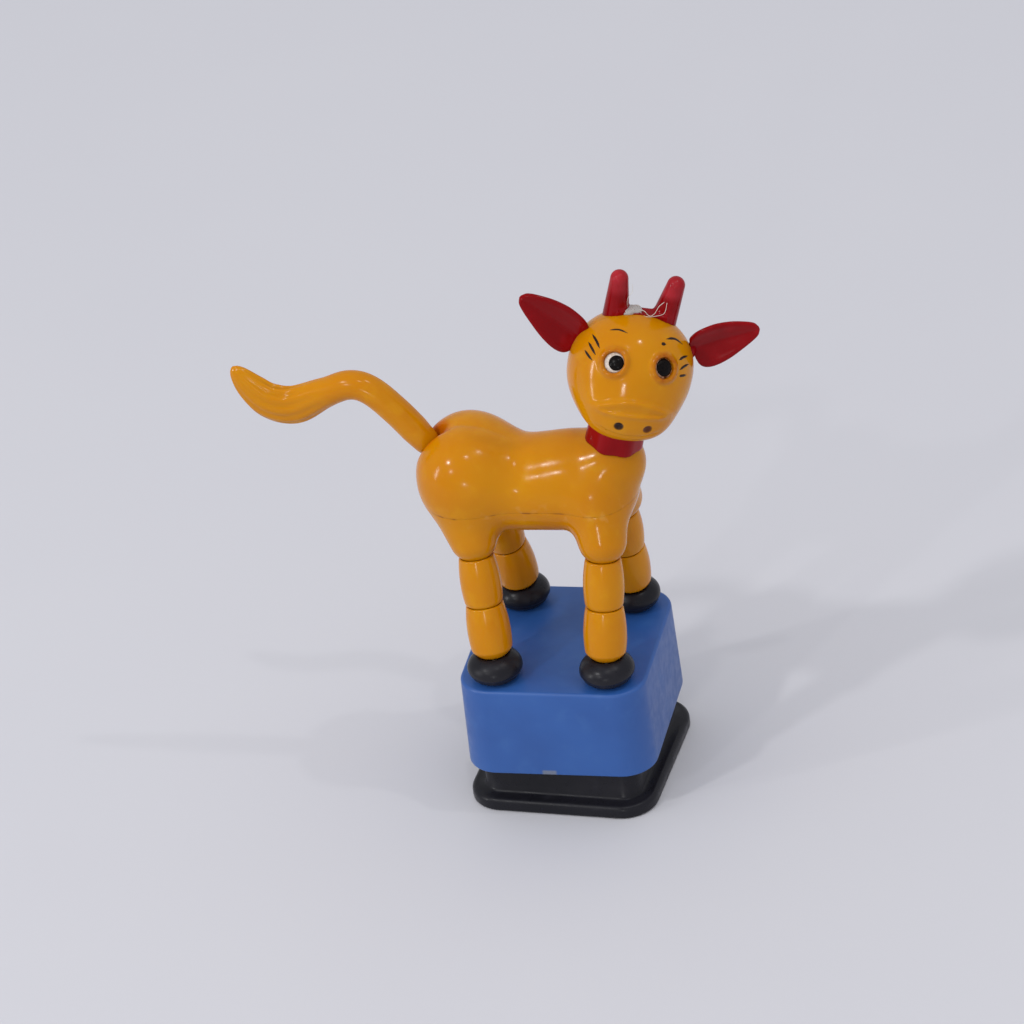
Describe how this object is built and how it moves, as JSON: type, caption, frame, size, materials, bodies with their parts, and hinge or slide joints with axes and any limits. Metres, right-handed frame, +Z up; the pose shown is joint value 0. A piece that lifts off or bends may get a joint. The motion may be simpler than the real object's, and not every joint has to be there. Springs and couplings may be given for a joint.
{
  "type": "push puppet",
  "caption": "Push puppet: a strung calf of moulded beads that stands on a sprung base box and goes limp when the button under the base is pushed up.",
  "frame": {"origin": "centre of the resting face under the push button's foot", "axes": "+X towards the animal's head end, +Y to the animal's left, +Z up"},
  "size_m": [0.0837, 0.0314, 0.0903],
  "materials": {
    "yellow_plastic": "glossy moulded orange-yellow",
    "blue_plastic": "satin moulded blue",
    "black_plastic": "semi-gloss moulded black",
    "red_plastic": "glossy moulded dark red",
    "white_string": "pale nylon string",
    "spring_steel": "bright spring wire"
  },
  "bodies": {
    "base": {"base_box": "blue_plastic", "base_strings": "white_string"},
    "button": {"push_button": "black_plastic", "coil_spring": "spring_steel", "string_knots": "white_string"},
    "hoof_front_left": {"hoof_front_left": "black_plastic", "hoof_string_front_left": "white_string"},
    "lower_front_left": {"lower_leg_front_left": "yellow_plastic", "lower_string_front_left": "white_string"},
    "upper_front_left": {"upper_leg_front_left": "yellow_plastic", "upper_string_front_left": "white_string"},
    "hoof_front_right": {"hoof_front_right": "black_plastic", "hoof_string_front_right": "white_string"},
    "lower_front_right": {"lower_leg_front_right": "yellow_plastic", "lower_string_front_right": "white_string"},
    "upper_front_right": {"upper_leg_front_right": "yellow_plastic", "upper_string_front_right": "white_string"},
    "hoof_hind_left": {"hoof_hind_left": "black_plastic", "hoof_string_hind_left": "white_string"},
    "lower_hind_left": {"lower_leg_hind_left": "yellow_plastic", "lower_string_hind_left": "white_string"},
    "upper_hind_left": {"upper_leg_hind_left": "yellow_plastic", "upper_string_hind_left": "white_string"},
    "hoof_hind_right": {"hoof_hind_right": "black_plastic", "hoof_string_hind_right": "white_string"},
    "lower_hind_right": {"lower_leg_hind_right": "yellow_plastic", "lower_string_hind_right": "white_string"},
    "upper_hind_right": {"upper_leg_hind_right": "yellow_plastic", "upper_string_hind_right": "white_string"},
    "torso": {"body_lower": "yellow_plastic", "body_upper": "yellow_plastic", "body_strings": "white_string"},
    "tail": {"tail": "yellow_plastic"},
    "collar": {"neck_collar": "red_plastic", "neck_string": "white_string"},
    "head": {"head_front": "yellow_plastic", "head_back": "yellow_plastic", "head_string": "white_string", "horns": "red_plastic", "ear_left": "red_plastic", "ear_right": "red_plastic"}
  },
  "joints": [
    {"name": "button_press", "type": "slide", "parent": "base", "child": "button", "axis": [0, 0, 1], "range_m": [0, 0.005], "stiffness_N_per_m": 110, "springref_m": -0.00148, "deforming": ["coil_spring", "base_strings"]},
    {"name": "hoof_tip_front_left", "type": "hinge", "parent": "base", "child": "hoof_front_left", "pos_m": [0.0116, 0.0103, 0.0232], "axis": [0, 1, 0], "range_deg": [0, 20.5], "stiffness_Nm_per_rad": 0.0021, "springref_deg": 0.46},
    {"name": "ankle_front_left", "type": "hinge", "parent": "hoof_front_left", "child": "lower_front_left", "pos_m": [0.00904, 0.00951, 0.03032], "axis": [0, 1, 0], "range_deg": [0, 17.8], "stiffness_Nm_per_rad": 0.00073, "springref_deg": -0.08},
    {"name": "knee_front_left", "type": "hinge", "parent": "lower_front_left", "child": "upper_front_left", "pos_m": [0.00934, 0.00781, 0.03833], "axis": [0, 1, 0], "range_deg": [-59.9, 0], "stiffness_Nm_per_rad": 0.000058, "springref_deg": -0.07},
    {"name": "hoof_tip_front_right", "type": "hinge", "parent": "base", "child": "hoof_front_right", "pos_m": [0.0116, -0.0103, 0.0232], "axis": [0, 1, 0], "range_deg": [0, 20.5], "stiffness_Nm_per_rad": 0.0021, "springref_deg": 0.46},
    {"name": "ankle_front_right", "type": "hinge", "parent": "hoof_front_right", "child": "lower_front_right", "pos_m": [0.00904, -0.00951, 0.03032], "axis": [0, 1, 0], "range_deg": [0, 17.8], "stiffness_Nm_per_rad": 0.00073, "springref_deg": -0.08},
    {"name": "knee_front_right", "type": "hinge", "parent": "lower_front_right", "child": "upper_front_right", "pos_m": [0.00934, -0.00781, 0.03833], "axis": [0, 1, 0], "range_deg": [-59.9, 0], "stiffness_Nm_per_rad": 0.000058, "springref_deg": -0.07},
    {"name": "hoof_tip_hind_left", "type": "hinge", "parent": "base", "child": "hoof_hind_left", "pos_m": [-0.0063, 0.0103, 0.0232], "axis": [0, 1, 0], "range_deg": [0, 10], "stiffness_Nm_per_rad": 0.0021, "springref_deg": 0.61},
    {"name": "ankle_hind_left", "type": "hinge", "parent": "hoof_hind_left", "child": "lower_hind_left", "pos_m": [-0.00935, 0.00951, 0.0303], "axis": [0, 1, 0], "range_deg": [0, 34], "stiffness_Nm_per_rad": 0.00073, "springref_deg": 0.17},
    {"name": "knee_hind_left", "type": "hinge", "parent": "lower_hind_left", "child": "upper_hind_left", "pos_m": [-0.0101, 0.00781, 0.03829], "axis": [0, 1, 0], "range_deg": [-62, 0], "stiffness_Nm_per_rad": 0.000058, "springref_deg": 0.21},
    {"name": "hoof_tip_hind_right", "type": "hinge", "parent": "base", "child": "hoof_hind_right", "pos_m": [-0.0063, -0.0103, 0.0232], "axis": [0, 1, 0], "range_deg": [0, 10], "stiffness_Nm_per_rad": 0.076, "springref_deg": -0.44},
    {"name": "ankle_hind_right", "type": "hinge", "parent": "hoof_hind_right", "child": "lower_hind_right", "pos_m": [-0.00935, -0.00951, 0.0303], "axis": [0, 1, 0], "range_deg": [0, 34], "stiffness_Nm_per_rad": 0.064, "springref_deg": -0.75},
    {"name": "knee_hind_right", "type": "hinge", "parent": "lower_hind_right", "child": "upper_hind_right", "pos_m": [-0.0101, -0.00781, 0.03829], "axis": [0, 1, 0], "range_deg": [-62, 0], "stiffness_Nm_per_rad": 0.05, "springref_deg": -0.82},
    {"name": "hip_hind_right", "type": "hinge", "parent": "upper_hind_right", "child": "torso", "pos_m": [-0.01085, -0.00611, 0.04627], "axis": [0, 1, 0], "range_deg": [0, 18], "stiffness_Nm_per_rad": 0.038, "springref_deg": -1.43},
    {"name": "neck_droop", "type": "hinge", "parent": "torso", "child": "collar", "pos_m": [0.01057, 0, 0.05682], "axis": [0, 1, 0], "range_deg": [0, 25], "stiffness_Nm_per_rad": 0.013, "springref_deg": -0.62},
    {"name": "head_turn", "type": "hinge", "parent": "collar", "child": "head", "pos_m": [0.01566, 0, 0.07349], "axis": [0.2924, 0, 0.9563], "range_deg": [-15, 165]},
    {"name": "tail_droop", "type": "hinge", "parent": "torso", "child": "tail", "pos_m": [-0.018, 0, 0.06], "axis": [0, 1, 0], "range_deg": [-45, 0], "stiffness_Nm_per_rad": 0.0032, "springref_deg": 1.54}
  ],
  "couplings": [
    {"joint": "hoof_tip_front_left", "follows": "button_press", "rad_per_m": 71.551},
    {"joint": "ankle_front_left", "follows": "button_press", "rad_per_m": 62.127},
    {"joint": "knee_front_left", "follows": "button_press", "rad_per_m": -209.07},
    {"joint": "hoof_tip_front_right", "follows": "button_press", "rad_per_m": 71.551},
    {"joint": "ankle_front_right", "follows": "button_press", "rad_per_m": 62.127},
    {"joint": "knee_front_right", "follows": "button_press", "rad_per_m": -209.07},
    {"joint": "hoof_tip_hind_left", "follows": "button_press", "rad_per_m": 34.903},
    {"joint": "ankle_hind_left", "follows": "button_press", "rad_per_m": 118.67},
    {"joint": "knee_hind_left", "follows": "button_press", "rad_per_m": -216.4},
    {"joint": "hoof_tip_hind_right", "follows": "button_press", "rad_per_m": 34.903},
    {"joint": "ankle_hind_right", "follows": "button_press", "rad_per_m": 118.67},
    {"joint": "knee_hind_right", "follows": "button_press", "rad_per_m": -216.4},
    {"joint": "hip_hind_right", "follows": "button_press", "rad_per_m": 62.826},
    {"joint": "neck_droop", "follows": "button_press", "rad_per_m": 87.258},
    {"joint": "tail_droop", "follows": "button_press", "rad_per_m": -157.06}
  ]
}
